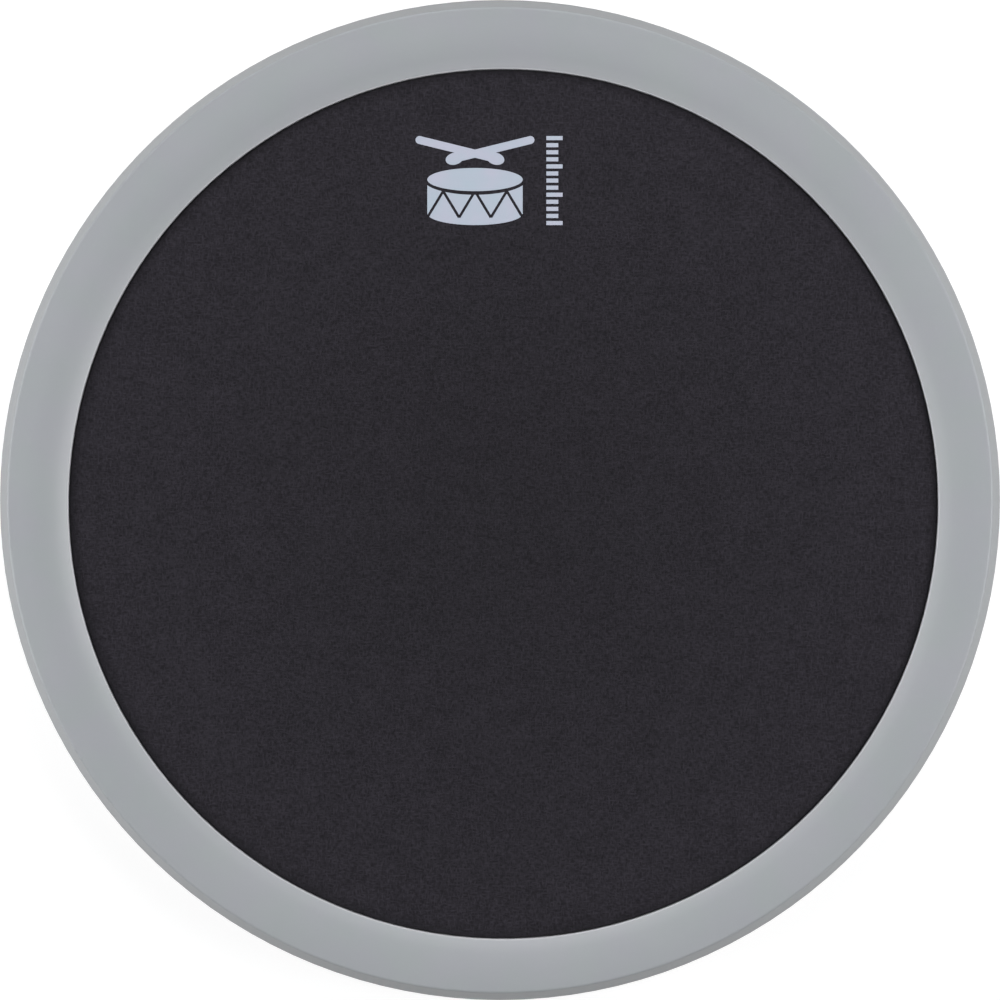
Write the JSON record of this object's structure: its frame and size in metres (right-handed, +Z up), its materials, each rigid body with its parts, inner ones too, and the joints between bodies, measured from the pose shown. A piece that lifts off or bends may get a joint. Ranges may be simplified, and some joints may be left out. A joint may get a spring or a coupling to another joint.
{
  "type": "practice pad",
  "caption": "Round tabletop drum practice pad: a fabric-topped cushioned playing surface in a soft silicone rubber rim on a rigid core board with a ribbed non-slip base.",
  "frame": {"origin": "middle of the round footprint, on the surface that the pad stands on", "axes": "+Z up out of the playing surface, +Y towards the printed side away from the player, +X to the player's right"},
  "size_m": [0.305, 0.305, 0.026],
  "materials": {
    "grey_silicone": "matte",
    "fibre_board": "matte",
    "black_rubber": "matte",
    "soft_foam": "matte",
    "backing_foam": "matte",
    "black_fabric": "matte",
    "silver_ink": "satin",
    "bonding_film": "satin"
  },
  "bodies": {
    "root": {"rim_shell": "grey_silicone", "core_board": "fibre_board", "base_pad": "black_rubber", "damping_sheet": "black_rubber", "foam_cushion": "soft_foam", "fabric_backing": "backing_foam", "playing_fabric": "black_fabric", "drum_print": "silver_ink", "tick_print": "silver_ink", "base_film": "bonding_film", "core_film": "bonding_film", "foam_film": "bonding_film", "backing_film": "bonding_film"}
  },
  "joints": []
}
